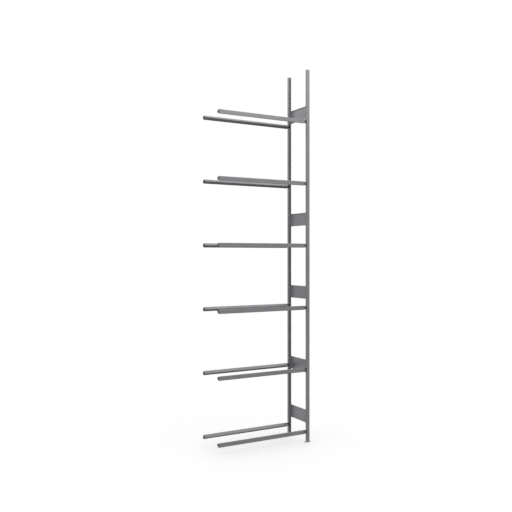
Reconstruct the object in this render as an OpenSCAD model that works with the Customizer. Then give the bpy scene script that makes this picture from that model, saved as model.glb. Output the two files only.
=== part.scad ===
// Tyre storage rack, add-on bay: one ladder frame of two lipped channel uprights joined by
// tie plates, and six levels of front and rear beams that hook into the uprights' slots.
// Millimetres. X runs along the beams with the frame at its right end, -Y is the front,
// +Z is up, and the origin is on the floor in the middle of the frame's four anchor holes.

/* [Frame] */
// Overall height, floor to the top of the post caps
frame_h = 4500; // [4460:5:4700]
// Overall depth of the frame, over both uprights
frame_d = 440; // [380:10:700]
// Width of an upright along X
post_w = 40; // [40:1:60]
// Depth of an upright along Y
post_d = 30; // [30:1:50]
// Sheet thickness of the uprights
post_t = 2; // [1.5:0.25:3]
// Outside corner radius of the uprights
post_r = 3; // [2.5:0.25:5]
// Width of the two lips along the open side of an upright, which faces the other upright
post_lip = 12; // [10:1:14]

/* [Slots] */
// Spacing of the hook slots up each upright
slot_pitch = 50; // [45:1:50]
// Height of a hook slot
slot_h = 27; // [27:0.5:30]
// Width of a hook slot along Y
slot_w = 4; // [4:0.25:6]
// Height of the lowest slot's bottom edge above the floor
slot_start = 70; // [65:5:90]

/* [Beams] */
// Clear width between this frame's uprights and the neighbouring frame's
bay_clear = 1178; // [900:2:1800]
// Number of storage levels
levels = 6; // [1:1:6]
// Slots left free below the lowest level
first_slot = 1; // [1:1:4]
// Slots from one level to the next
level_slots = 15; // [12:1:15]
// Height from a slot's bottom edge to the top of the beam hung in it
seat_drop = 30; // [28:1:34]
// Height of a beam
beam_h = 50; // [46:1:60]
// Depth of a beam, from its outer face to its inner nose
beam_d = 45; // [35:1:60]
// Depth of the flat strip along a beam's top and bottom edges
beam_land = 6; // [6:0.5:12]
// Height of the flat nose along a beam's inner edge
beam_nose = 8; // [6:0.5:14]
// Distance of a beam's outer face behind the upright's outer face
beam_inset = 15; // [12:1:20]
// Sheet thickness of the beams
beam_t = 2; // [1.5:0.25:2.5]
// Outside corner radius of the beams
beam_r = 4; // [3:0.5:6]
// Gap between a beam's profile and this frame's upright, bridged by the right hook
beam_gap = 22; // [10:1:30]
// Gap between a beam's profile and the neighbouring upright, at the left hook
beam_gap_left = 4; // [4:0.5:30]

/* [End hooks] */
// Sheet thickness of the hooks
hook_t = 3; // [2.5:0.25:3.25]
// Height of the hook's neck, which passes through the slot
neck_h = 14; // [10:1:14]
// Drop of the hook's tooth below its neck, behind the upright's wall
tooth_drop = 12; // [8:1:12]
// Length of the tongue inside the beam
tongue_l = 60; // [30:5:120]

/* [Tie plates] */
// Height of each tie plate's middle above the floor
tie_z = [300, 910, 1805, 2700, 3995];
// Height of a tie plate
tie_h = 155; // [100:5:180]
// Sheet thickness of the tie plates
tie_t = 1.5; // [1.25:0.25:2]
// Depth of the folds along a tie plate's top and bottom edges
tie_hem = 12; // [8:1:20]
// Height between the two pairs of rivets at each end of a tie plate
rivet_gap = 115; // [60:5:130]

/* [Feet and caps] */
// Width of a foot plate along X
foot_w = 86; // [80:2:140]
// Depth of a foot plate along Y
foot_d = 36; // [34:1:60]
// Thickness of a foot plate and of its tab
foot_t = 4; // [3:0.5:6]
// Diameter of a floor anchor hole
anchor_hole_d = 10; // [8:0.5:12]
// Spacing of the two anchor holes in a foot plate
anchor_gap = 62; // [56:1:66]
// Height of the foot tab inside the upright
foot_tab_h = 58; // [50:1:60]
// Thickness of a post cap's top
cap_t = 3; // [2:0.5:5]
// Depth of a post cap's skirt inside the upright
cap_skirt = 20; // [10:1:30]

/* [Fasteners] */
// Shank diameter of the foot screws
screw_d = 6; // [5:0.5:8]
// Shank length of the foot screws
screw_l = 12; // [10:1:16]
// Shank diameter of the rivets that hold the tie plates
rivet_d = 4; // [3.2:0.4:4.8]

/* [Hidden] */
$fn = 48;
eps = 0.01;
fit_gap = 0.05;
hang_gap = 0.3;
slide_gap = 0.5;
arc_steps = 5;
side_names = ["front", "rear"];
hand_names = ["left", "right"];

post_x = post_w / 2;
post_y = frame_d / 2;
post_top = frame_h - cap_t;
hook_y = post_y - beam_inset - beam_t - fit_gap - hook_t / 2;
slot_top_margin = 30;
slot_count = 1 + floor((post_top - slot_top_margin - slot_h - slot_start) / slot_pitch);
beam_l = bay_clear - beam_gap - beam_gap_left;
beam_x0 = -post_x - bay_clear + beam_gap_left;
plate_margin = 1;
tongue_h = beam_h - 2 * beam_r - 2;
anchor_y = post_y - foot_d / 2;
post_mid_y = post_y - post_d / 2;
lip_y = post_y - post_d;
foot_screw_z = [24, 46];
tie_span = 2 * lip_y - 2 * fit_gap;
tie_x = post_x - 1;
rivet_x = post_x - 7;

silver = [0.66, 0.67, 0.68];
light_steel = [0.74, 0.75, 0.76];
zinc = [0.82, 0.82, 0.80];
hook_grey = [0.50, 0.51, 0.52];
cap_grey = [0.45, 0.45, 0.46];

function unit(v) = v / norm(v);
function cross2(a, b) = a.x * b.y - a.y * b.x;

// Points along the rounded corner at p between a and b: a fillet of radius r, drawn
// inward by inset, so one outline gives both faces of a bent sheet.
function corner(a, p, b, r, inset) =
    let (
        u = unit(a - p),
        v = unit(b - p),
        half = acos(u * v) / 2,
        middle = p + unit(u + v) * r / sin(half),
        from = unit(p + u * r / tan(half) - middle),
        to = unit(p + v * r / tan(half) - middle),
        turn = atan2(cross2(from, to), from * to),
        start = atan2(from.y, from.x),
        angles = [for (i = [0:arc_steps]) start + turn * i / arc_steps]
    )
    [for (angle = angles) middle + (r - inset) * [cos(angle), sin(angle)]];

// Outline of a polygon whose corners are all rounded.
function rounded(pts, r, inset = 0) =
    let (n = len(pts))
    [for (i = [0:n - 1]) each corner(pts[(i + n - 1) % n], pts[i], pts[(i + 1) % n], r, inset)];

function box_pts(w, d) = [[-w / 2, -d / 2], [w / 2, -d / 2], [w / 2, d / 2], [-w / 2, d / 2]];

// Beam section as [depth from the outer face, height from the bottom edge].
function beam_pts() = [
    [0, 0],
    [beam_land, 0],
    [beam_d, (beam_h - beam_nose) / 2],
    [beam_d, (beam_h + beam_nose) / 2],
    [beam_land, beam_h],
    [0, beam_h]
];

// Bottom edge of the slots that carry a level, and the top of that level's beams.
function slot_z(level) = slot_start + (first_slot + (level - 1) * level_slots) * slot_pitch;
function level_top(level) = slot_z(level) + seat_drop;

// The front pieces are drawn at -Y, and the rear ones are their mirror images.
module on_side(side) {
    if (side == "rear") mirror([0, 1, 0]) children();
    else children();
}

// Extrudes a [y, z] outline along +X from x = 0.
module along_x(length) {
    rotate([90, 0, 90]) linear_extrude(length) children();
}

// Where the rivets of one frame side sit, as [x, z].
function rivet_places() =
    [for (z = tie_z) for (s = [-1, 1]) for (x = [-rivet_x, rivet_x]) [x, z + s * rivet_gap / 2]];

// Roll-formed lipped channel with a row of hook slots through both side walls.
module upright(side) {
    color(silver) on_side(side) difference() {
        translate([0, -post_mid_y, foot_t]) linear_extrude(post_top - foot_t) difference() {
            polygon(rounded(box_pts(post_w, post_d), post_r));
            polygon(rounded(box_pts(post_w, post_d), post_r, post_t));
            translate([post_lip - post_x, 0]) square([post_w - 2 * post_lip, post_d]);
        }
        for (i = [0:slot_count - 1])
            translate([-post_x - 1, -hook_y - slot_w / 2, slot_start + i * slot_pitch])
                cube([post_w + 2, slot_w, slot_h]);
        for (place = rivet_places())
            translate([place.x, -lip_y - post_t - 1, place.y])
                rotate([-90, 0, 0]) cylinder(h = post_t + 2, d = rivet_d + 2 * fit_gap);
        foot_screw_holes(post_x - post_t, post_t);
    }
}

// Clearance holes for a front upright's foot screws, through a wall that starts at x = near.
module foot_screw_holes(near, wall) {
    for (z = foot_screw_z)
        translate([near - 1, -post_mid_y, z])
            rotate([0, 90, 0]) cylinder(h = wall + 2, d = screw_d + 2 * fit_gap);
}

// Plastic plug that closes the top of an upright.
module post_cap(side) {
    skirt_w = post_w - 2 * post_t - 4 * fit_gap;
    skirt_d = post_d - 2 * post_t - 4 * fit_gap;
    skirt_wall = 2;
    color(cap_grey) on_side(side) translate([0, -post_mid_y, post_top]) {
        linear_extrude(cap_t) polygon(rounded(box_pts(post_w, post_d), post_r));
        translate([0, 0, -cap_skirt]) linear_extrude(cap_skirt + eps) difference() {
            polygon(rounded(box_pts(skirt_w, skirt_d), post_r));
            square([skirt_w - 2 * skirt_wall, skirt_d - 2 * skirt_wall], center = true);
        }
    }
}

// Base plate with two anchor holes, and a tab that stands inside the upright against its
// right side wall.
module foot_plate(side) {
    tab_w = post_d - 2 * post_t - 4;
    tab_x = post_x - post_t - fit_gap - foot_t;
    plate_r = 6;
    color(zinc) on_side(side) difference() {
        union() {
            translate([0, -anchor_y, 0])
                linear_extrude(foot_t) polygon(rounded(box_pts(foot_w, foot_d), plate_r));
            translate([tab_x, -post_mid_y - tab_w / 2, 0]) cube([foot_t, tab_w, foot_t + foot_tab_h]);
        }
        for (s = [-1, 1])
            translate([s * anchor_gap / 2, -anchor_y, -1]) cylinder(h = foot_t + 2, d = anchor_hole_d);
        foot_screw_holes(tab_x, foot_t);
    }
}

// Hex flange screw, driven from the right into an upright's side wall and foot tab.
module flange_screw(z) {
    head_h = 5;
    flange_t = 1.5;
    flange_d = 13;
    across_flats = 10;
    translate([post_x + fit_gap, -post_mid_y, z]) rotate([0, -90, 0]) {
        cylinder(h = screw_l, d = screw_d);
        translate([0, 0, -flange_t]) cylinder(h = flange_t + eps, d = flange_d);
        translate([0, 0, -flange_t - head_h])
            cylinder(h = head_h + eps, d = across_flats / cos(30), $fn = 6);
    }
}

module foot_screws() {
    color(zinc) for (side = side_names) on_side(side) for (z = foot_screw_z) flange_screw(z);
}

// Set blind rivet through a tie plate's end fold and an upright's lip.
module rivet(place) {
    head_d = 7.5;
    head_t = 1.2;
    tail_d = 1.4 * rivet_d;
    tail_l = 3;
    grip = tie_t + post_t + 3 * fit_gap;
    translate([place.x, -lip_y + tie_t + 2 * fit_gap, place.y]) rotate([90, 0, 0]) {
        translate([0, 0, -head_t]) cylinder(h = head_t + eps, d = head_d);
        cylinder(h = grip + eps, d = rivet_d);
        translate([0, 0, grip]) cylinder(h = tail_l, d = tail_d);
    }
}

module tie_rivets() {
    color(zinc) for (side = side_names) on_side(side) for (place = rivet_places()) rivet(place);
}

// Sheet panel between the uprights. All its edges are folded the same way, towards the
// beams: the top and bottom ones are narrow, and the ends are riveted to the lips.
module tie_plate(i) {
    hole_play = 0.4;
    clear_y = tie_span - 2 * tie_t;
    color(light_steel) translate([0, 0, tie_z[i]]) difference() {
        translate([-tie_x, -tie_span / 2, -tie_h / 2]) cube([2 * tie_x, tie_span, tie_h]);
        translate([-tie_x - tie_t, -clear_y / 2, -tie_h / 2 + tie_t])
            cube([2 * tie_x, clear_y, tie_h - 2 * tie_t]);
        translate([-tie_x - tie_t, -clear_y / 2, -tie_h / 2 - tie_t])
            cube([2 * tie_x - tie_hem + tie_t, clear_y, tie_h + 2 * tie_t]);
        for (x = [-rivet_x, rivet_x])
            for (z = [-rivet_gap / 2, rivet_gap / 2])
                translate([x, -tie_span / 2 - 1, z])
                    rotate([-90, 0, 0]) cylinder(h = tie_span + 2, d = rivet_d + hole_play);
    }
}

// Closed roll-formed beam with a pointed inner side. The tyres rest on its upper slope.
module beam(side, level) {
    color(silver) on_side(side)
        translate([beam_x0, -post_y + beam_inset, level_top(level) - beam_h]) along_x(beam_l) difference() {
            polygon(rounded(beam_pts(), beam_r));
            polygon(rounded(beam_pts(), beam_r, beam_t));
        }
}

// End hook, drawn for the right end of a front beam with x = 0 at the upright's face. It
// is an end plate, a tongue inside the beam, and a tooth behind the upright's wall.
module hook_shape(top, gap) {
    seat = top - seat_drop + hang_gap;
    tooth_x = post_t + slide_gap;
    hook_face = -hook_y - hook_t / 2;
    translate([-hook_t - slide_gap, -post_y + beam_inset, top - beam_h])
        along_x(hook_t) polygon(rounded(beam_pts(), beam_r, plate_margin));
    translate([-gap - tongue_l, hook_face, top - beam_h / 2 - tongue_h / 2])
        cube([gap + tongue_l - slide_gap, hook_t, tongue_h]);
    translate([-slide_gap - eps, hook_face, seat])
        cube([tooth_x + slide_gap + eps, hook_t, neck_h]);
    translate([tooth_x, hook_face, seat - tooth_drop]) cube([hook_t, hook_t, neck_h + tooth_drop]);
}

module end_hook(side, level, hand) {
    color(hook_grey) on_side(side) {
        if (hand == "right") translate([-post_x, 0, 0]) hook_shape(level_top(level), beam_gap);
        else translate([-post_x - bay_clear, 0, 0])
            mirror([1, 0, 0]) hook_shape(level_top(level), beam_gap_left);
    }
}

function beam_name(side, level) = str(side, "_beam_", level);
function hook_name(side, level, hand) = str(beam_name(side, level), "_", hand, "_hook");

upright("front");  // front_upright
upright("rear");  // rear_upright
post_cap("front");  // front_post_cap
post_cap("rear");  // rear_post_cap
foot_plate("front");  // front_foot_plate
foot_plate("rear");  // rear_foot_plate
foot_screws();
tie_rivets();
for (i = [1:len(tie_z)])
    tie_plate(i - 1);
for (s = side_names)
    for (n = [1:levels]) {
        beam(s, n);
        for (h = hand_names)
            end_hook(s, n, h);
    }
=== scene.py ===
# %% [markdown]
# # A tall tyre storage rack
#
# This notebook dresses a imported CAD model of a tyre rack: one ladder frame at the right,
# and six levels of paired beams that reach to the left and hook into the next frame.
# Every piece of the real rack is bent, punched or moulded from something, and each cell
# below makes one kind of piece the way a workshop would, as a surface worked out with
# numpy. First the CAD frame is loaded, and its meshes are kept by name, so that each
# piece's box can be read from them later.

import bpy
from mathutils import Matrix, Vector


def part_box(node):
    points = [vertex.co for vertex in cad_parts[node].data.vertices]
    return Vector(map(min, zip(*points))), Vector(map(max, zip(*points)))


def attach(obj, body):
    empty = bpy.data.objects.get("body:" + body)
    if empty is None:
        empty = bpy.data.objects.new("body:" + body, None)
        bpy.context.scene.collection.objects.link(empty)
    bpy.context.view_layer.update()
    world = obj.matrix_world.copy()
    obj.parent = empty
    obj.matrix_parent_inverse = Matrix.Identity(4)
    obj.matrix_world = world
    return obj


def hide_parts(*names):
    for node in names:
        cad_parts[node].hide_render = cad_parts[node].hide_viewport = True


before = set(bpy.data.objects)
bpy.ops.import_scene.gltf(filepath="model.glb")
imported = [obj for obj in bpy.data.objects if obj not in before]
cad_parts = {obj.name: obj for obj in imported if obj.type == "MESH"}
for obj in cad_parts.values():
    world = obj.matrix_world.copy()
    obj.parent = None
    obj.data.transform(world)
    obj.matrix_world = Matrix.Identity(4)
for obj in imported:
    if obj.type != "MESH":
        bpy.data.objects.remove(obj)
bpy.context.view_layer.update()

# %% [markdown]
# ## Parts list
#
# The names of the CAD nodes say what each piece is. The front and rear halves of the rack
# mirror each other, so every piece is worked out once, for the front and for a right-hand
# end, and the others are its mirror images. Lengths in the functions are in millimetres,
# as on a workshop drawing, and turn into metres when a mesh is made.

# %% Names, units and the pieces to make
import math

import bmesh
import bpy
import numpy as np

MM = 0.001
SIDES = ("front", "rear")
beam_names = sorted(
    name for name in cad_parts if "_beam_" in name and not name.endswith("_hook")
)
tie_names = sorted(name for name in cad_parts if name.startswith("tie_plate_"))
print(len(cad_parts), "nodes,", len(beam_names), "beams,", len(tie_names), "tie plates")


def box_mm(node):
    """The two corners of a CAD node's box, in millimetres."""
    low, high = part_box(node)
    return np.array(low) / MM, np.array(high) / MM


# %% [markdown]
# ## From arrays to meshes
#
# A shell is a pair: an array of points, and a list of faces that number those points.
# Most shells are grids, where the faces follow from the numbers of rows and columns
# alone. Counting is quicker than looping, so the four corners of every quad come from
# one sum of arrays.

# %% Grids, shells and mirror images
def grid_quads(rows, cols, wrap=False, keep=None):
    """Quads of a grid numbered row by row: corner (r, c), then (r, c+1), (r+1, c+1) and
    (r+1, c). With wrap the last column joins the first. keep is an array of True and
    False, one for each quad, that leaves holes."""
    row = np.arange(rows - 1)[:, None]
    col = np.arange(cols if wrap else cols - 1)[None, :]
    after = (col + 1) % cols
    quads = np.stack(
        [row * cols + col, row * cols + after, (row + 1) * cols + after, (row + 1) * cols + col],
        axis=-1,
    )
    return (quads if keep is None else quads[keep]).reshape(-1, 4)


def mirror_shell(shell, axis):
    """The shell's mirror image across the plane through the origin square to axis. A
    mirror turns faces inside out, so each face is also read backwards."""
    points, faces = shell
    sign = np.ones(3)
    sign[axis] = -1.0
    return points * sign, [face[::-1] for face in faces]


def join_shells(shells):
    """One shell made of several, the later ones' faces renumbered past the earlier."""
    points, faces, start = [], [], 0
    for shell_points, shell_faces in shells:
        points.append(shell_points)
        faces.extend((np.asarray(face) + start).tolist() for face in shell_faces)
        start += len(shell_points)
    return np.concatenate(points), faces


def on_side(shell, side):
    """Front shells are drawn at -Y and stay. Rear ones are mirrored to +Y."""
    return shell if side == "front" else mirror_shell(shell, axis=1)


print("a grid of 3 rows and 4 columns has", len(grid_quads(3, 4)), "quads")

# %% [markdown]
# A mesh object stays at the origin, unturned and unscaled: its place is in its points.
# Closed shells get their normals worked out afresh. Open sheets keep the way they were
# drawn, because it says to which side the metal's thickness goes.

# %% Make a piece and bind it to the frame
MERGE_MM = 0.002  # points closer than this become one
SHARP_ANGLE = math.radians(40)  # edges that turn by less are shaded smooth


def make_piece(name, shell, material, closed=True):
    """A mesh object from a shell in millimetres, with one material."""
    points, faces = shell
    mesh = bpy.data.meshes.new(name)
    mesh.from_pydata((points * MM).tolist(), [], [list(map(int, face)) for face in faces])
    work = bmesh.new()
    work.from_mesh(mesh)
    bmesh.ops.remove_doubles(work, verts=work.verts, dist=MERGE_MM * MM)
    if closed:
        bmesh.ops.recalc_face_normals(work, faces=work.faces)
    work.to_mesh(mesh)
    work.free()
    mesh.materials.append(material)
    mesh.shade_smooth()
    mesh.set_sharp_from_angle(angle=SHARP_ANGLE)
    piece = bpy.data.objects.new(name, mesh)
    bpy.context.scene.collection.objects.link(piece)
    return piece


def thicken(piece, thickness, inside=None):
    """Gives a sheet its thickness, behind the faces that were drawn. Its inner face may
    have a material of its own."""
    solid = piece.modifiers.new("sheet thickness", "SOLIDIFY")
    solid.thickness = thickness * MM
    solid.offset = -1.0
    solid.use_even_offset = True
    if inside:
        piece.data.materials.append(inside)
        solid.material_offset = 1


def ease_edges(piece, width, segments=2):
    """Takes the sharpness off every edge that turns by more than the sharp angle, as
    shears and tumbling do."""
    bevel = piece.modifiers.new("eased edges", "BEVEL")
    bevel.width = width * MM
    bevel.segments = segments
    bevel.limit_method = "ANGLE"
    bevel.angle_limit = SHARP_ANGLE
    bevel.harden_normals = True


def bind(piece, body, node):
    """The piece rides on a CAD body and stands in for a CAD node, which it hides."""
    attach(piece, body)
    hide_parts(node)


print("edges that turn by over", round(math.degrees(SHARP_ANGLE)), "degrees stay sharp")

# %% [markdown]
# ## Rounded outlines
#
# Sheet metal never bends sharply: every corner of a section is an arc. A corner at P
# between two straight runs is rounded by a circle of radius r that touches both. Its
# middle lies on the line that halves the corner, at r / sin(half the angle) from P.

# %% Round the corners of an outline
def round_corners(points, radii, steps=5, closed=True):
    """Replaces each corner of an outline by an arc of its own radius, and a corner of
    radius 0 by itself. An open outline keeps its two end points."""
    points = np.asarray(points, float)
    radii = np.broadcast_to(np.asarray(radii, float), len(points))
    out = []
    for i, (corner, radius) in enumerate(zip(points, radii)):
        if radius == 0 or (not closed and i in (0, len(points) - 1)):
            out.append(corner[None])
            continue
        back = points[i - 1] - corner
        ahead = points[(i + 1) % len(points)] - corner
        back, ahead = back / np.linalg.norm(back), ahead / np.linalg.norm(ahead)
        half = math.acos(np.clip(back @ ahead, -1, 1)) / 2
        bisector = (back + ahead) / np.linalg.norm(back + ahead)
        middle = corner + bisector * radius / math.sin(half)
        first = corner + back * radius / math.tan(half) - middle
        last = corner + ahead * radius / math.tan(half) - middle
        start = math.atan2(first[1], first[0])
        turn = (math.atan2(last[1], last[0]) - start + math.pi) % (2 * math.pi) - math.pi
        angle = start + turn * np.linspace(0, 1, steps + 1)
        out.append(middle + radius * np.stack([np.cos(angle), np.sin(angle)], axis=1))
    return np.concatenate(out)


def box_outline(width, depth):
    """The four corners of a rectangle round the origin, counter-clockwise."""
    x, y = width / 2, depth / 2
    return np.array([[-x, -y], [x, -y], [x, y], [-x, y]])


rounded_box = round_corners(box_outline(40.0, 30.0), 3.0)
print("a rectangle with four rounded corners has", len(rounded_box), "points")

# %% [markdown]
# Two ways of filling an outline come up again and again. A profile carried along an axis
# gives roll-formed metal: the profile is one parameter and the way along is the other.
# A flat plate is an outline carried through its own thickness, with both ends closed.

# %% Carry a profile along an axis, and cut a flat plate
AXIS_ORDER = {"x": [2, 0, 1], "y": [0, 2, 1], "z": [0, 1, 2]}


def carry(profile, stations, along):
    """Grid of points: profile point (a, b) at each station s along one axis. The other
    two axes take a and b, in the order yz, xz or xy."""
    rows, cols = len(stations), len(profile)
    grid = np.empty((rows, cols, 3))
    grid[..., 0] = profile[:, 0]
    grid[..., 1] = profile[:, 1]
    grid[..., 2] = np.asarray(stations)[:, None]
    return grid[..., AXIS_ORDER[along]]


def flat_plate(outline, low, high, along):
    """Closed shell of an outline between two heights along an axis."""
    count = len(outline)
    points = carry(outline, [low, high], along).reshape(-1, 3)
    faces = grid_quads(2, count, wrap=True).tolist()
    return points, faces + [list(range(count)), list(range(count, 2 * count))[::-1]]


print("a plate of that outline has", len(flat_plate(rounded_box, 0.0, 2.0, "z")[1]), "faces")

# %% [markdown]
# ## Node materials
#
# One small function adds a node, sets its properties, and sets or links its inputs. A
# colour is written as the hex value that a paint chart or colour picker gives, which is
# in the sRGB scale, and one function turns it into the linear light that Blender adds
# up.

# %% Colour and node helpers
def linear(hex_colour):
    """Linear RGBA of an sRGB hex colour: each channel c is c/12.92 near black, and
    ((c + 0.055) / 1.055) to the power 2.4 above that."""
    channel = np.array([int(hex_colour[i : i + 2], 16) for i in (1, 3, 5)]) / 255
    value = np.where(channel <= 0.04045, channel / 12.92, ((channel + 0.055) / 1.055) ** 2.4)
    return (*value.tolist(), 1.0)


def add_node(tree, kind, inputs=None, **settings):
    """Adds one node. An input may be a value, or the output socket that feeds it."""
    node = tree.nodes.new(kind)
    for setting, value in settings.items():
        setattr(node, setting, value)
    for socket, value in (inputs or {}).items():
        if isinstance(value, bpy.types.NodeSocket):
            tree.links.new(value, node.inputs[socket])
        else:
            node.inputs[socket].default_value = value
    return node


def new_material(name):
    """An empty node material, and its tree."""
    material = bpy.data.materials.new(name)
    material.use_nodes = True
    material.node_tree.nodes.clear()
    return material, material.node_tree


def per_metre(size_mm):
    """Texture scale that makes one pattern cell the given size in millimetres."""
    return 1.0 / (size_mm * MM)


print("a grey of half scale is", round(linear("#808080")[0], 3), "in linear light")

# %% [markdown]
# ## Galvanised sheet
#
# The uprights, beams and tie plates are steel strip that ran through molten zinc before
# it was bent. What that gives the eye is a mid grey metal with three kinds of detail.
# The zinc froze in crystals, the spangle, each a few millimetres across, and each crystal
# throws the light a little differently. The rolls that flattened the strip left fine
# lines along its length. Handling and stacking left cloudy patches, a hand's breadth
# wide, that are duller than the rest. The inside of a channel gets a darker sheet of its
# own, which is painted shade: it stands for the shade that falls deep in the channel.
#
# A Voronoi pattern draws the crystals, because crystals that grow from points until
# they meet are exactly a Voronoi diagram. Two noises draw the clouds and the lines; for
# the lines, the noise is stretched more than a hundredfold along the strip. The real
# lines are about 0.1 mm apart, too fine to show, so they are drawn 0.9 mm apart.

# %% Galvanised sheet material
SPANGLE_MM = 9.0
CLOUD_MM = 130.0
ROLL_LINE_MM = 0.9
ROLL_LINE_LENGTH_MM = 120.0
CRYSTAL_SHARE, CLOUD_SHARE, LINE_SHARE = 0.30, 0.70, 0.25  # of each in the tone
BRIGHT_ROUGHNESS, DULL_ROUGHNESS = 0.36, 0.50


def galvanised_sheet(name, bright, dull, rolled_along):
    """Zinc-coated strip whose rolling lines run along axis 0, 1 or 2."""
    material, tree = new_material(name)
    place = add_node(tree, "ShaderNodeTexCoord").outputs["Object"]
    crystal = add_node(
        tree,
        "ShaderNodeTexVoronoi",
        {"Vector": place, "Scale": per_metre(SPANGLE_MM), "Randomness": 1.0},
    )
    crystal_tone = add_node(
        tree, "ShaderNodeSeparateColor", {"Color": crystal.outputs["Color"]}
    ).outputs["Red"]
    cloud = add_node(
        tree,
        "ShaderNodeTexNoise",
        {"Vector": place, "Scale": per_metre(CLOUD_MM), "Detail": 5.0, "Roughness": 0.6},
    ).outputs["Fac"]
    squeeze = [per_metre(ROLL_LINE_MM)] * 3
    squeeze[rolled_along] = per_metre(ROLL_LINE_LENGTH_MM)
    strip = add_node(tree, "ShaderNodeMapping", {"Vector": place, "Scale": squeeze})
    lines = add_node(
        tree,
        "ShaderNodeTexNoise",
        {"Vector": strip.outputs["Vector"], "Scale": 1.0, "Detail": 2.0},
    ).outputs["Fac"]

    crystal_part = add_node(
        tree, "ShaderNodeMath", {0: crystal_tone, 1: CRYSTAL_SHARE}, operation="MULTIPLY"
    ).outputs[0]
    cloud_part = add_node(
        tree,
        "ShaderNodeMath",
        {0: cloud, 1: CLOUD_SHARE, 2: crystal_part},
        operation="MULTIPLY_ADD",
    ).outputs[0]
    tone = add_node(
        tree, "ShaderNodeMath", {0: lines, 1: LINE_SHARE, 2: cloud_part}, operation="MULTIPLY_ADD"
    ).outputs[0]
    colour = add_node(
        tree,
        "ShaderNodeMix",
        {0: tone, 6: linear(dull), 7: linear(bright)},
        data_type="RGBA",
    ).outputs[2]
    dullness = add_node(
        tree,
        "ShaderNodeMapRange",
        {
            "Value": tone,
            "From Min": 0.25,
            "From Max": 0.95,
            "To Min": DULL_ROUGHNESS,
            "To Max": BRIGHT_ROUGHNESS,
        },
    ).outputs["Result"]

    line_bump = add_node(
        tree,
        "ShaderNodeBump",
        {"Height": lines, "Strength": 0.10, "Distance": 0.05 * MM},
    ).outputs["Normal"]
    crystal_bump = add_node(
        tree,
        "ShaderNodeBump",
        {
            "Height": crystal.outputs["Distance"],
            "Normal": line_bump,
            "Strength": 0.12,
            "Distance": 0.10 * MM,
        },
    ).outputs["Normal"]
    shader = add_node(
        tree,
        "ShaderNodeBsdfPrincipled",
        {"Base Color": colour, "Metallic": 1.0, "Roughness": dullness, "Normal": crystal_bump},
    )
    add_node(tree, "ShaderNodeOutputMaterial", {"Surface": shader.outputs["BSDF"]})
    return material


upright_zinc = galvanised_sheet("galvanised_strip_upright", "#BEBDC0", "#9C9B9E", 2)
# The channels' inner faces get a darker copy of the zinc: painted shade for the shade that falls
# inside them.
painted_shade_inside_zinc = galvanised_sheet("galvanised_strip_inside_painted_shade", "#666669", "#4C4B4F", 2)
beam_zinc = galvanised_sheet("galvanised_strip_beam", "#BDBABE", "#9B989C", 0)
tie_zinc = galvanised_sheet("galvanised_sheet_tie_plate", "#C4C2C5", "#A2A0A3", 1)
print("galvanised finishes:", upright_zinc.name, beam_zinc.name, tie_zinc.name)

# %% [markdown]
# ## Zinc plate, zinc phosphate and plastic
#
# The foot plates, screws and rivets are dipped in a bath with a current through it, which
# leaves a thin, even, brighter zinc with a faint blue and yellow shift in its clear
# coating. The hooks are stamped from thick strip and dipped in phosphoric acid and zinc
# salts, which turns their skin into a dull dark grey crust of crystals that holds oil.
# Their tone is partly that crust's own and partly painted shade: it is set darker than
# the beams' zinc to stand for the shade in the set-in ends of the beams.
# Its crystals are 0.01 mm across, so they are drawn 2 mm across to show at all. The caps
# are moulded polypropylene in a spark-eroded mould, which leaves an even matt grain; real
# grain is 0.1 mm and is drawn 0.7 mm across.

# %% Finishes that share one recipe: two tones, a noise and a bump
PATCH_MM = 40.0
ROUGHNESS_SWING = 0.08
METAL, PLASTIC = 1.0, 0.0


def speckled_finish(name, light, dark, grain_mm, metallic, roughness, bump_mm):
    """Two tones mixed by a patchy noise, and a grain noise that moves the surface by
    bump_mm and makes it rougher and smoother."""
    material, tree = new_material(name)
    place = add_node(tree, "ShaderNodeTexCoord").outputs["Object"]
    patch = add_node(
        tree,
        "ShaderNodeTexNoise",
        {"Vector": place, "Scale": per_metre(PATCH_MM), "Detail": 4.0},
    ).outputs["Fac"]
    grain = add_node(
        tree,
        "ShaderNodeTexNoise",
        {"Vector": place, "Scale": per_metre(grain_mm), "Detail": 3.0},
    ).outputs["Fac"]
    colour = add_node(
        tree,
        "ShaderNodeMix",
        {0: patch, 6: linear(dark), 7: linear(light)},
        data_type="RGBA",
    ).outputs[2]
    uneven = add_node(
        tree,
        "ShaderNodeMapRange",
        {
            "Value": grain,
            "To Min": roughness - ROUGHNESS_SWING,
            "To Max": roughness + ROUGHNESS_SWING,
        },
    ).outputs["Result"]
    bump = add_node(
        tree, "ShaderNodeBump", {"Height": grain, "Strength": 0.6, "Distance": bump_mm * MM}
    ).outputs["Normal"]
    shader = add_node(
        tree,
        "ShaderNodeBsdfPrincipled",
        {"Base Color": colour, "Metallic": metallic, "Roughness": uneven, "Normal": bump},
    )
    add_node(tree, "ShaderNodeOutputMaterial", {"Surface": shader.outputs["BSDF"]})
    return material


plated_foot = speckled_finish(
    "zinc_electroplate_foot", "#D6D8D4", "#BFC4C6", 3.0, METAL, roughness=0.36, bump_mm=0.02
)
plated_screw = speckled_finish(
    "zinc_electroplate_screw", "#DCDDD6", "#C3CAD0", 1.5, METAL, roughness=0.26, bump_mm=0.01
)
# Darker than the beams' zinc: partly the phosphate's own grey, and partly painted shade for the
# set-in beam ends.
phosphate_and_painted_shade = speckled_finish(
    "zinc_phosphate_hook_and_painted_shade", "#999799", "#7D7B7E", 2.0, METAL, roughness=0.50, bump_mm=0.02
)
cap_plastic = speckled_finish(
    "moulded_polypropylene_cap", "#8F9193", "#858789", 0.7, PLASTIC, roughness=0.55, bump_mm=0.03
)
print("other finishes:", plated_foot.name, plated_screw.name, phosphate_and_painted_shade.name, cap_plastic.name)

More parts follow.
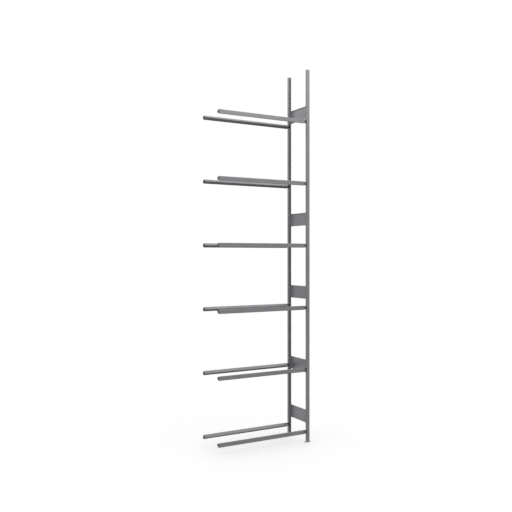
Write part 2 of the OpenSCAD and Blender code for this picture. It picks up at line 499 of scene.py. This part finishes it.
# %% [markdown]
# ## Uprights
#
# An upright is one strip, slotted by a press every 50 mm and then rolled into a channel
# whose two lips leave a gap down its open side. The open sides of the two uprights face
# each other. A block with holes cut out of it would need one boolean for each of the 88
# slots. Instead the strip itself is the surface: one parameter goes round the section
# and one goes up, the rows and columns of the grid lie on the slots' edges, and the
# quads inside the slots are left out. Solidify then makes it 2 mm sheet.

# %% Roll the two uprights
SHEET_MM = 2.0
POST_RADIUS = 3.0
LIP_MM = 12.0
SLOT_PITCH, SLOT_HEIGHT, SLOT_WIDTH = 50.0, 27.0, 4.0
SLOT_START = 70.0
SLOT_COUNT = 88
SLOT_FROM_FRONT = 18.55  # from the outer face to the middle of the slots
SHEARED_EDGE = 0.3


def upright_shell():
    """Outer face of a front upright: its section's open outline at each height."""
    low, high = box_mm("front_upright")
    slot_y = low[1] + SLOT_FROM_FRONT
    near, far = slot_y - SLOT_WIDTH / 2, slot_y + SLOT_WIDTH / 2
    corners = np.array([
        (low[0] + LIP_MM, high[1], 0),
        (low[0], high[1], POST_RADIUS),
        (low[0], far, 0),
        (low[0], near, 0),
        (low[0], low[1], POST_RADIUS),
        (high[0], low[1], POST_RADIUS),
        (high[0], near, 0),
        (high[0], far, 0),
        (high[0], high[1], POST_RADIUS),
        (high[0] - LIP_MM, high[1], 0),
    ])  # x, y and the bend's radius
    section = round_corners(corners[:, :2], corners[:, 2], closed=False)
    bottoms = SLOT_START + SLOT_PITCH * np.arange(SLOT_COUNT)
    heights = np.sort(np.concatenate([[low[2], high[2]], bottoms, bottoms + SLOT_HEIGHT]))
    grid = carry(section, heights, "z")
    row_middle = (heights[1:] + heights[:-1]) / 2
    in_slot_row = (row_middle - SLOT_START) % SLOT_PITCH < SLOT_HEIGHT
    in_slot_row &= (row_middle > SLOT_START) & (row_middle < bottoms[-1] + SLOT_HEIGHT)
    col_middle = (section[1:] + section[:-1]) / 2
    in_slot_col = (abs(col_middle[:, 1] - slot_y) < 1) & (abs(col_middle[:, 0]) > high[0] - 1)
    keep = ~(in_slot_row[:, None] & in_slot_col[None, :])
    return grid.reshape(-1, 3), grid_quads(*grid.shape[:2], keep=keep)


for side in SIDES:
    shell = on_side(upright_shell(), side)
    post = make_piece(f"{side}_upright_channel", shell, upright_zinc, closed=False)
    # The inner faces take the darker zinc, painted shade inside the channel.
    thicken(post, SHEET_MM, painted_shade_inside_zinc)
    ease_edges(post, SHEARED_EDGE)
    bind(post, "frame", f"{side}_upright")
print("uprights:", len(post.data.polygons), "quads each before the sheet gets its thickness")

# %% [markdown]
# ## Beams
#
# A beam is a closed roll-formed tube with a flat outer face and a pointed inner side. Its
# upper slope cradles the tyres, and on every closed profile a thin seam runs along one
# hidden face, where the strip's edges were joined: here a shallow groove in the lower
# slope. Near both ends, four round dents mark where spot-welding electrodes pressed the
# face on to the hook's tongue behind it. The section and the way along the beam are the
# two parameters. The dents push the face inwards by a depth that falls off as a bell
# curve round each weld, so the grid is fine near the ends and coarse between them.

# %% Section of a beam
BEAM_LAND, BEAM_NOSE, BEAM_RADIUS = 6.0, 8.0, 4.0
FACE_POINTS = 27
SEAM_WIDTH, SEAM_DEPTH = 1.6, 0.7
SEAM_SHARE = 0.62  # of the way down the slope, from the bottom edge to the nose


def beam_corners(depth, height):
    """The six corners of a beam's section as (distance from the outer face, height),
    counter-clockwise from the bottom of the outer face."""
    nose = [(depth, (height - BEAM_NOSE) / 2), (depth, (height + BEAM_NOSE) / 2)]
    return np.array([(0, 0), (BEAM_LAND, 0), *nose, (BEAM_LAND, height), (0, height)])


def beam_section(depth, height):
    """The rounded outline with the seam's groove in its lower slope. The last run, down
    the outer face, is cut into equal steps for the dents."""
    corners = beam_corners(depth, height)
    land, nose = corners[1], corners[2]
    along = (nose - land) / np.linalg.norm(nose - land)
    inward = np.array([-along[1], along[0]])
    seam = land + SEAM_SHARE * (nose - land)
    edge = along * SEAM_WIDTH / 2
    groove = [seam - edge, seam + inward * SEAM_DEPTH, seam + edge]
    radii = np.repeat([BEAM_RADIUS, 0, BEAM_RADIUS], [2, 3, 4])
    outline = round_corners(np.vstack([corners[:2], groove, corners[2:]]), radii)
    face = np.linspace(height - BEAM_RADIUS, BEAM_RADIUS, FACE_POINTS)[1:-1]
    return np.concatenate([outline, np.stack([0 * face, face], axis=1)])


beam_low, beam_high = box_mm("front_beam_1")
section = beam_section(*(beam_high - beam_low)[1:])
beam_length = round(beam_high[0] - beam_low[0])
print("beam section:", len(section), "points, and its length:", beam_length, "mm")

# %% Beam tube with its spot-weld dents
WELD_FROM_END = (14.0, 42.0)
WELD_FROM_MIDDLE = 9.0
WELD_RADIUS, WELD_DEPTH = 3.2, 0.45
END_ZONE, END_STEP = 58.0, 1.6
MIDDLE_STATIONS = 10


def beam_shell(node):
    """Outer face of a front beam. Each point of the outer face moves inwards by the sum
    over the welds of depth * exp(-(distance / radius) ** 4), a flat-bottomed bell."""
    low, high = box_mm(node)
    profile = beam_section(high[1] - low[1], high[2] - low[2])
    profile = profile + [low[1], low[2]]
    from_end = np.arange(0, END_ZONE + END_STEP / 2, END_STEP)
    middle = np.linspace(low[0] + END_ZONE, high[0] - END_ZONE, MIDDLE_STATIONS + 2)[1:-1]
    stations = np.concatenate([low[0] + from_end, middle, high[0] - from_end[::-1]])
    grid = carry(profile, stations, "x")
    x, y, z = np.moveaxis(grid, -1, 0)
    centre_z = (low[2] + high[2]) / 2
    dent = np.zeros_like(x)
    near_ends = [low[0] + d for d in WELD_FROM_END] + [high[0] - d for d in WELD_FROM_END]
    for weld_x in near_ends:
        for weld_z in (centre_z - WELD_FROM_MIDDLE, centre_z + WELD_FROM_MIDDLE):
            reach = np.hypot(x - weld_x, z - weld_z) / WELD_RADIUS
            dent += WELD_DEPTH * np.exp(-(reach**4))
    grid[..., 1] += np.where(y < low[1] + 0.5, dent, 0)
    return grid.reshape(-1, 3), grid_quads(*grid.shape[:2], wrap=True)


for name in beam_names:
    side = name.split("_")[0]
    shell = beam_shell(name.replace("rear", "front"))
    beam = make_piece(f"{name}_tube", on_side(shell, side), beam_zinc, closed=False)
    thicken(beam, SHEET_MM)
    ease_edges(beam, SHEARED_EDGE)
    bind(beam, f"{name}_assembly", name)
print("beams:", len(beam.data.polygons), "quads each before thickness")

# %% [markdown]
# ## End hooks
#
# A hook is two stampings of 3 mm strip, welded into each other. The first has a long
# tongue that is spot welded inside the beam, a neck that passes through the upright's
# slot, and a tooth that drops behind the upright's wall. The second is an end plate of
# the beam's own section, a little smaller all round, which rests against the upright.
# Both are outlines carried through the strip's thickness. A weld bead runs down the
# corner between them: a half-round whose radius swells and falls once for each drop of
# weld metal. At the right the tongue's bare neck bridges a gap of 22 mm between the beam
# and its end plate, so the beam's end looks set in. At the left the plate sits right on
# the beam's end, and the bead is inside.

# %% Stamp and weld the hooks
HANDS = ("left", "right")
HOOK_SHEET = 3.0
WELD_GAP = 0.05  # left between two pieces that are welded or screwed face to face
HOOK_PLAY = 0.5  # between a hook and the upright's wall, on both sides of it
BEAM_GAP = {"left": 4.0, "right": 22.0}  # from the upright to the beam
TONGUE_LENGTH, TONGUE_HEIGHT = 60.0, 40.0
SEAT_DROP, HANG_GAP = 30.0, 0.3  # the neck's underside: below the beam's top, above the slot's end
NECK_HEIGHT, TOOTH_DROP = 14.0, 12.0
POST_FACE = -20.0
PLATE_INSET = 1.0
BEAD_RADIUS, BEAD_PITCH, BEAD_TAPER = 1.7, 2.4, 1.5
BEAD_FROM_END = 4.0


def weld_bead(x, y, low, high):
    """Half-round bead along Z in the corner at (x, y): its radius is the bead's own,
    less a fifth where one drop of metal meets the next, and it shrinks at both ends."""
    way = np.linspace(low, high, 61)
    swell = BEAD_RADIUS * (0.8 + 0.2 * np.abs(np.sin(np.pi * (way - low) / BEAD_PITCH)))
    swell *= np.clip(np.minimum(way - low, high - way) / BEAD_TAPER, 0.15, 1) ** 0.5
    angle = np.linspace(0, 2 * np.pi, 13)[:-1]
    grid = np.empty((len(way), len(angle), 3))
    grid[..., 0] = x + swell[:, None] * np.cos(angle)
    grid[..., 1] = y + swell[:, None] * np.sin(angle)
    grid[..., 2] = way[:, None]
    count = len(angle)
    ends = [list(range(count))[::-1], list(range(count * (len(way) - 1), count * len(way)))]
    return grid.reshape(-1, 3), grid_quads(len(way), count, wrap=True).tolist() + ends


def hook_shell(beam_node, hand):
    """Hook of a front beam, drawn for a right end, with the upright's face at x = -20."""
    low, high = box_mm(beam_node)
    size = high - low
    middle = (low[2] + high[2]) / 2
    face_y = low[1] + SHEET_MM + WELD_GAP + HOOK_SHEET
    tongue_end = POST_FACE - BEAM_GAP[hand] - TONGUE_LENGTH
    plate_x = POST_FACE - HOOK_PLAY
    seat = high[2] - SEAT_DROP + HANG_GAP
    tooth = POST_FACE + SHEET_MM + HOOK_PLAY
    half = TONGUE_HEIGHT / 2
    outline = np.array([
        (tongue_end, middle - half, 5.0),
        (plate_x, middle - half, 1.0),
        (plate_x, seat, 0.0),
        (tooth, seat, 0.6),
        (tooth, seat - TOOTH_DROP, 0.8),
        (tooth + HOOK_SHEET, seat - TOOTH_DROP, 1.2),
        (tooth + HOOK_SHEET, seat + NECK_HEIGHT, 2.5),
        (plate_x, seat + NECK_HEIGHT, 0.0),
        (plate_x, middle + half, 1.0),
        (tongue_end, middle + half, 5.0),
    ])  # x, z and the corner's radius
    stamped = round_corners(outline[:, :2], outline[:, 2], steps=4)
    blade = flat_plate(stamped, face_y - HOOK_SHEET, face_y, "y")
    section = round_corners(beam_corners(size[1], size[2]), BEAM_RADIUS)
    shrink = 1 - 2 * PLATE_INSET / size[1:]
    section = low[1:] + size[1:] / 2 + (section - size[1:] / 2) * shrink
    plate = flat_plate(section, plate_x - HOOK_SHEET, plate_x, "x")
    bead_y = face_y if hand == "left" else face_y - HOOK_SHEET
    bead_low, bead_high = middle - half + BEAD_FROM_END, middle + half - BEAD_FROM_END
    bead = weld_bead(plate_x - HOOK_SHEET, bead_y, bead_low, bead_high)
    return join_shells([blade, plate, bead])


def turned_left(shell):
    """The shell's mirror image across the middle of the bay, halfway between the tips of
    a left and a right hook."""
    left_tip = box_mm("front_beam_1_left_hook")[0][0]
    right_tip = box_mm("front_beam_1_right_hook")[1][0]
    points, faces = mirror_shell(shell, axis=0)
    return points + np.array([left_tip + right_tip, 0, 0]), faces


for name in beam_names:
    side = name.split("_")[0]
    for hand in HANDS:
        shell = hook_shell(name.replace("rear", "front"), hand)
        shell = on_side(turned_left(shell) if hand == "left" else shell, side)
        # The hooks' darker grey is partly painted shade for the gap at each beam's end.
        hook = make_piece(f"{name}_{hand}_hook_stamping", shell, phosphate_and_painted_shade)
        ease_edges(hook, 0.35)
        bind(hook, f"{name}_assembly", f"{name}_{hand}_hook")
print("hooks:", 2 * len(beam_names), "of", len(hook.data.polygons), "faces")

# %% [markdown]
# ## Tie plates
#
# A tie plate starts as a flat blank with its four corners notched out. A press brake
# folds all four edges the same way and leaves a shallow tray. The surface follows the
# bending: across the blank, a point's distance from the middle is its place along the
# flat, then round the bend's arc, then down the fold. Doing that in both directions at
# once gives the whole tray, and the quads that lie past a bend in both directions are
# the notches, so they are left out. The end folds are as deep as the uprights' lips are
# wide apart, because they are riveted to both; the long ones only stiffen the edge.

# %% Fold the tie plates
TIE_SHEET = 1.5
BEND_RADIUS = 2.6
BEND_STEPS = 5
TIE_HEM = 12.0  # depth of the top and bottom folds


def folded_line(half, fold_depth):
    """Places and depths from one fold's free edge, over the flat, to the other's: on
    an arc the place is half - r + r sin(angle), and the depth is r - r cos(angle)."""
    angle = np.linspace(0, np.pi / 2, BEND_STEPS + 1)
    place = half - BEND_RADIUS + BEND_RADIUS * np.sin(angle)
    depth = BEND_RADIUS - BEND_RADIUS * np.cos(angle)
    place = np.concatenate([place, [half, half]])
    depth = np.concatenate([depth, [fold_depth / 2, fold_depth]])
    inner = np.linspace(-(half - BEND_RADIUS), half - BEND_RADIUS, 9)[1:-1]
    return (
        np.concatenate([-place[::-1], inner, place]),
        np.concatenate([depth[::-1], 0 * inner, depth]),
    )


def tie_shell(node):
    """Outer face of one tray. Its flat lies on the right, and its folds point left."""
    low, high = box_mm(node)
    half_y, half_z = (high[1] - low[1]) / 2, (high[2] - low[2]) / 2
    y, y_depth = folded_line(half_y, high[0] - low[0])
    z, z_depth = folded_line(half_z, TIE_HEM)
    grid = np.empty((len(z), len(y), 3))
    grid[..., 0] = high[0] - y_depth[None, :] - z_depth[:, None]
    grid[..., 1] = y[None, :]
    grid[..., 2] = z[:, None] + (low[2] + high[2]) / 2
    past_y = np.maximum(y_depth[1:], y_depth[:-1]) > 0
    past_z = np.maximum(z_depth[1:], z_depth[:-1]) > 0
    keep = ~(past_z[:, None] & past_y[None, :])
    return grid.reshape(-1, 3), grid_quads(*grid.shape[:2], keep=keep)


for name in tie_names:
    tray = make_piece(f"{name}_tray", tie_shell(name), tie_zinc, closed=False)
    thicken(tray, TIE_SHEET)
    ease_edges(tray, 0.25)
    bind(tray, "frame", name)
print("tie plates:", len(tie_names), "of", len(tray.data.polygons), "quads before thickness")

# %% [markdown]
# ## Foot plates
#
# Each upright stands on a laser-cut plate with two anchor holes, and a tab welded to the
# plate reaches up inside the channel. A plate with holes is a good place for a ruled
# surface: each point of the rounded outline is joined by a straight line to the point of
# the hole's rim in the same direction, so the hole stays truly round and no boolean is
# needed. Two such halves meet along the middle of the plate.

# %% Cut the foot plates
FOOT_THICKNESS = 4.0
FOOT_RADIUS = 6.0
ANCHOR_RADIUS, ANCHOR_OFFSET = 5.0, 31.0
STRAIGHT_RUN = 8.0  # a side of the outline longer than this is cut into steps
TAB_WIDTH, TAB_TOP, TAB_RADIUS = 22.0, 62.0, 3.0
TAB_SUNK = 0.5  # how far the tab's foot goes into the plate


def ruled_to_hole(outline, centre, radius, rows=3):
    """Grid from a hole's rim to an outline round it: each outline point's direction
    from the hole's middle gives its partner on the rim."""
    direction = outline - centre
    direction = direction / np.linalg.norm(direction, axis=1)[:, None]
    rim = centre + radius * direction
    mix = np.linspace(0, 1, rows)[:, None, None]
    return rim * (1 - mix) + outline * mix


def foot_shell():
    """Top face of a front foot plate, as two ruled halves."""
    low, high = box_mm("front_foot_plate")
    corners = np.array([(0, low[1]), (high[0], low[1]), (high[0], high[1]), (0, high[1])])
    rounded = round_corners(corners, [0, FOOT_RADIUS, FOOT_RADIUS, 0], steps=6)
    ends = np.roll(rounded, -1, axis=0)
    share = np.linspace(0, 1, 7)[:-1]
    straight = np.linalg.norm(ends - rounded, axis=1) > STRAIGHT_RUN
    runs = [
        a + (b - a) * share[:, None] if is_run else a[None]
        for a, b, is_run in zip(rounded, ends, straight)
    ]
    outline = np.concatenate(runs)
    centre = np.array([ANCHOR_OFFSET, (low[1] + high[1]) / 2])
    flat = ruled_to_hole(outline, centre, ANCHOR_RADIUS)
    top = np.full(flat.shape[:2] + (1,), low[2] + FOOT_THICKNESS)
    grid = np.concatenate([flat, top], axis=-1)
    rows, cols = grid.shape[:2]
    half = (grid.reshape(-1, 3), grid_quads(rows, cols, wrap=True)[:, ::-1])
    return join_shells([half, mirror_shell(half, axis=0)])


def tab_shell():
    """Upright tab against the channel's right wall, with its top corners rounded."""
    low, high = box_mm("front_upright")
    inner_wall = high[0] - SHEET_MM - WELD_GAP
    middle = (low[1] + high[1]) / 2
    near, far = middle - TAB_WIDTH / 2, middle + TAB_WIDTH / 2
    bottom = FOOT_THICKNESS - TAB_SUNK
    corners = [(near, bottom), (far, bottom), (far, TAB_TOP), (near, TAB_TOP)]
    outline = round_corners(corners, [0, 0, TAB_RADIUS, TAB_RADIUS])
    return flat_plate(outline, inner_wall - FOOT_THICKNESS, inner_wall, "x")


for side in SIDES:
    shell = on_side(foot_shell(), side)
    foot = make_piece(f"{side}_foot_plate_cut", shell, plated_foot, closed=False)
    thicken(foot, FOOT_THICKNESS)
    ease_edges(foot, 0.5)
    bind(foot, "frame", f"{side}_foot_plate")
    tab = make_piece(f"{side}_foot_tab", on_side(tab_shell(), side), plated_foot)
    ease_edges(tab, 0.4)
    bind(tab, "frame", f"{side}_foot_plate")
print("foot plates:", len(foot.data.polygons), "quads each before thickness")

# %% [markdown]
# ## Post caps
#
# A moulded plug closes the top of each upright. Its shape is a stack of rounded
# rectangles, each given by how far it lies inside the upright's outline and how high it
# is: up inside the skirt, round the skirt's lead-in, out under the rim, and over a
# softly rounded top. The rings are the rows of one grid.

# %% Mould the post caps
CAP_RINGS = [
    (11.0, -3.0), (4.1, -3.0), (4.1, -22.6), (3.7, -23.0), (2.6, -23.0), (2.1, -21.5),
    (2.1, -3.0), (0.2, -3.0), (0.0, -2.8), (0.0, -1.2), (0.15, -0.6), (0.5, -0.2),
    (1.1, -0.03), (2.0, 0.0), (11.0, 0.0),
]  # (distance inside the outline, height below the top)


def cap_shell():
    """Rings of a front post cap, from the middle of its underside to the middle of its
    top, with both ends closed by a face."""
    low, high = box_mm("front_post_cap")
    width, depth = high[0] - low[0], high[1] - low[1]
    centre = [(low[0] + high[0]) / 2, (low[1] + high[1]) / 2]
    rings = []
    for inset, height in CAP_RINGS:
        radius = max(POST_RADIUS - inset, 0.6)
        ring = round_corners(box_outline(width - 2 * inset, depth - 2 * inset), radius, steps=4)
        rings.append(np.column_stack([ring + centre, np.full(len(ring), high[2] + height)]))
    grid = np.stack(rings)
    rows, cols = grid.shape[:2]
    ends = [list(range(cols))[::-1], list(range(cols * (rows - 1), cols * rows))]
    return grid.reshape(-1, 3), grid_quads(rows, cols, wrap=True).tolist() + ends


for side in SIDES:
    cap = make_piece(f"{side}_post_cap_moulding", on_side(cap_shell(), side), cap_plastic)
    bind(cap, "frame", f"{side}_post_cap")
print("caps:", len(cap.data.polygons), "faces each")

# %% [markdown]
# ## Screws and rivets
#
# Small hardware is turned, so its surface is a line of (radius, place along the axis)
# spun round: one parameter goes down the line, the other goes round. The screw adds two
# twists to that. Its head's radius is the smaller of a hexagon's and a cone's, which is
# how a real chamfer is cut, and its shank's radius follows a helix, so the crest climbs
# one pitch in each turn. A set blind rivet has a low dome with the mouth of its broken
# stem in the middle, and a swollen tail behind the sheet.

# %% Spin a profile, with the radius free to depend on the angle
def spun_shell(radius, place, segments):
    """Grid of rings round the X axis, whose radius is an array of one value per row, or
    of one value per row and segment. Both ends are closed by a face."""
    angle = np.linspace(0, 2 * np.pi, segments, endpoint=False)
    radius = np.asarray(radius).reshape(len(place), -1)
    radius = np.broadcast_to(radius, (len(place), segments))
    grid = np.stack(
        [
            np.broadcast_to(np.asarray(place)[:, None], radius.shape),
            radius * np.cos(angle),
            radius * np.sin(angle),
        ],
        axis=-1,
    )
    rows, cols = grid.shape[:2]
    ends = [list(range(cols))[::-1], list(range(cols * (rows - 1), cols * rows))]
    return grid.reshape(-1, 3), grid_quads(rows, cols, wrap=True).tolist() + ends


def scatter(shell, places):
    """One shell that holds a copy of another at each place."""
    points, faces = shell
    return join_shells([(points + np.asarray(place), faces) for place in places])


ring = spun_shell([2.0, 3.0, 3.0, 2.0], [0.0, 0.0, 1.0, 1.0], segments=24)
print("a spun disc of four rings has", len(ring[1]), "faces")

# %% Foot screws: a flanged hexagon head and a rolled thread
SCREW_RADIUS, SCREW_LENGTH, PITCH = 3.0, 12.0, 1.0
HEAD_TOP, FLANGE_RADIUS = 6.5, 6.5
ACROSS_FLATS = 10.0
THREAD_DEPTH = 0.45
TIP_LENGTH, TIP_DEPTH = 1.2, 0.6
FOOT_SCREW_HEIGHTS = (24.0, 46.0)


def screw_shell(segments=36):
    """Head from its top down to the flange, then the threaded shank to its tip."""
    angle = np.linspace(0, 2 * np.pi, segments, endpoint=False)
    from_flat = (angle + np.pi / 6) % (np.pi / 3) - np.pi / 6
    hexagon = ACROSS_FLATS / 2 / np.cos(from_flat)
    head_place = np.array([HEAD_TOP, HEAD_TOP, 6.3, 6.0, 5.6, 5.1, 1.9, 1.55])
    cone = np.array([0.6, 4.6, 4.85, 5.2, 5.65, 6.3, 6.3, 6.3])
    head = np.minimum(cone[:, None], hexagon[None, :])
    flange_place = np.array([1.35, 0.8, 0.45, 0.0, 0.0])
    flange = np.array([5.6, 6.35, FLANGE_RADIUS, FLANGE_RADIUS, SCREW_RADIUS])
    shank_place = -np.arange(0.1, SCREW_LENGTH + 0.01, PITCH / 8)
    turn = (shank_place[:, None] / PITCH + angle[None, :] / (2 * np.pi)) % 1.0
    ridge = 1 - np.abs(2 * turn - 1)
    tip = 1 - np.clip((SCREW_LENGTH + shank_place) / TIP_LENGTH, 0, 1)[:, None]
    shank = SCREW_RADIUS - THREAD_DEPTH * (1 - ridge) - TIP_DEPTH * tip
    radius = np.concatenate([head, np.repeat(flange[:, None], segments, axis=1), shank])
    return spun_shell(radius, np.concatenate([head_place, flange_place, shank_place]), segments)


post_low, post_high = box_mm("front_upright")
screw_y = (post_low[1] + post_high[1]) / 2
screw_places = [
    (post_high[0] + WELD_GAP, sign * screw_y, height)
    for sign in (1, -1)
    for height in FOOT_SCREW_HEIGHTS
]
screws = make_piece("foot_screws_flanged", scatter(screw_shell(), screw_places), plated_screw)
bind(screws, "frame", "foot_screws")
print("foot screws:", len(screw_places), "with", len(screws.data.polygons), "faces in all")

# %% Rivets: four at each end of every tie plate
RIVET_FROM_EDGE = 7.0
RIVET_SPACING = 115.0
RIVET_PROFILE = [
    (0.4, -0.55), (0.95, -0.5), (1.05, 0.75), (1.35, 1.02), (2.0, 1.12), (2.8, 0.95), (3.4, 0.6),
    (3.72, 0.2), (3.75, 0.0), (2.0, 0.0), (2.0, -3.65), (2.55, -3.75), (2.8, -4.4), (2.8, -5.6),
    (2.4, -6.3), (1.3, -6.65), (0.5, -6.65),
]  # (radius, place along the axis), with 0 at the sheet under the head


def rivet_shell(segments=16):
    """A set rivet on the Y axis, its head towards the middle of the frame."""
    profile = np.array(RIVET_PROFILE)
    points, faces = spun_shell(profile[:, 0], profile[:, 1], segments)
    return points[:, [1, 0, 2]], faces


rivet_x = post_high[0] - RIVET_FROM_EDGE
seat_y = post_high[1] + TIE_SHEET + 0.1
rivets = []
for name in tie_names:
    low, high = box_mm(name)
    middle = (low[2] + high[2]) / 2
    heights = (middle - RIVET_SPACING / 2, middle + RIVET_SPACING / 2)
    places = [(x, seat_y, height) for x in (-rivet_x, rivet_x) for height in heights]
    front_row = scatter(rivet_shell(), places)
    rivets += [front_row, mirror_shell(front_row, axis=1)]
rivet_set = make_piece("tie_rivets_set", join_shells(rivets), plated_screw)
bind(rivet_set, "frame", "tie_rivets")
print("rivets:", 8 * len(tie_names), "with", len(rivet_set.data.polygons), "faces in all")

# %% [markdown]
# ## Floor and light
#
# The rack stands on a plain pale floor that runs on without an edge. The floor glows a
# little by itself, which keeps it pale without washing out the soft shade under the
# beams, and it is hidden from the rays that light the metal.
#
# The light is a studio's, soft and from all round, and its strength depends on height
# alone. It is brightest between about 20 and 50 degrees up and weaker straight overhead.
# It is dim along the horizon, has a brighter band just under it, as a far floor would
# throw back, is darkest from 30 to 55 degrees below, and gets lighter again straight
# down. Sheet metal mirrors these bands softly, which is why an upright face, an upper
# slope and a lower slope each get a tone of their own.

# %% Pale floor
FLOOR_WIDTH = 80.0
FLOOR_GLOW = 0.31
WHITE = (1.0, 1.0, 1.0, 1.0)

floor_corners = [(x, y, 0) for x, y in box_outline(FLOOR_WIDTH, FLOOR_WIDTH).tolist()]
floor_mesh = bpy.data.meshes.new("studio_floor")
floor_mesh.from_pydata(floor_corners, [], [(0, 1, 2, 3)])
floor = bpy.data.objects.new("studio_floor", floor_mesh)
bpy.context.scene.collection.objects.link(floor)
floor_paint, tree = new_material("pale_studio_floor")
matt = add_node(tree, "ShaderNodeBsdfDiffuse", {"Color": linear("#F2F2F2")})
glow = add_node(tree, "ShaderNodeEmission", {"Color": WHITE, "Strength": FLOOR_GLOW})
both = add_node(tree, "ShaderNodeAddShader", {0: matt.outputs[0], 1: glow.outputs[0]})
add_node(tree, "ShaderNodeOutputMaterial", {"Surface": both.outputs[0]})
floor_mesh.materials.append(floor_paint)
floor.visible_diffuse = False
floor.visible_glossy = False
print("floor:", floor.name, "with glow", FLOOR_GLOW)

# %% Soft light from all round, by height
SKY = [
    (0.00, 0.48), (0.05, 0.34), (0.11, 0.08), (0.22, 0.09), (0.32, 0.40), (0.40, 0.60),
    (0.48, 0.27), (0.52, 0.22), (0.57, 0.48), (0.68, 1.00), (0.86, 0.95), (0.96, 0.50),
    (1.00, 0.40),
]  # (direction's height from 0 straight down to 1 straight up, brightness)

world = bpy.data.worlds.new("studio_light")
bpy.context.scene.world = world
world.use_nodes = True
tree = world.node_tree
tree.nodes.clear()
direction = add_node(tree, "ShaderNodeTexCoord").outputs["Generated"]
height = add_node(tree, "ShaderNodeSeparateXYZ", {"Vector": direction}).outputs["Z"]
share = add_node(
    tree, "ShaderNodeMapRange", {"Value": height, "From Min": -1.0, "From Max": 1.0}
).outputs["Result"]
ramp = add_node(tree, "ShaderNodeValToRGB", {"Fac": share})
stops = ramp.color_ramp.elements
for position, _ in SKY[1:-1]:
    stops.new(position)
for stop, (position, brightness) in zip(stops, SKY):
    stop.position = position
    stop.color = (brightness, brightness, brightness, 1.0)
soft = add_node(tree, "ShaderNodeBackground", {"Color": ramp.outputs["Color"], "Strength": 1.0})
plain = add_node(tree, "ShaderNodeBackground", {"Color": WHITE, "Strength": 1.0})
seen = add_node(tree, "ShaderNodeLightPath").outputs["Is Camera Ray"]
blend = add_node(tree, "ShaderNodeMixShader", {0: seen, 1: soft.outputs[0], 2: plain.outputs[0]})
add_node(tree, "ShaderNodeOutputWorld", {"Surface": blend.outputs[0]})
print("light by height:", [(round(stop.position, 2), round(stop.color[0], 2)) for stop in stops])

# %% One large soft box above the front
key_light = bpy.data.lights.new("key_softbox", "AREA")
key_light.shape = "RECTANGLE"
key_light.size, key_light.size_y = 3.0, 2.0
key_light.energy = 12.0
key = bpy.data.objects.new("key_softbox", key_light)
bpy.context.scene.collection.objects.link(key)
key.location = (0.8, -3.2, 6.2)
key.rotation_euler = (math.radians(42), 0.0, math.radians(12))
print("softbox:", key_light.size, "x", key_light.size_y, "m,", key_light.energy, "W")

# %% [markdown]
# ## Camera
#
# The rack is seen from the left and the front, from a little over head height, with the
# camera level, so that its uprights stay parallel in the picture.

# %% Camera
camera_data = bpy.data.cameras.new("camera")
camera_data.lens = 46.19
camera_data.sensor_width = 36.0
camera_data.shift_y = -0.0031
camera_data.clip_end = 200.0
camera = bpy.data.objects.new("camera", camera_data)
bpy.context.scene.collection.objects.link(camera)
camera.location = (-4.4740, -6.8081, 2.2688)
camera.rotation_euler = (math.radians(90), 0.0, math.radians(-29.63))
bpy.context.scene.camera = camera
bpy.context.scene.view_settings.view_transform = "Standard"
print("camera:", camera_data.lens, "mm lens,", camera.location[2], "m up")
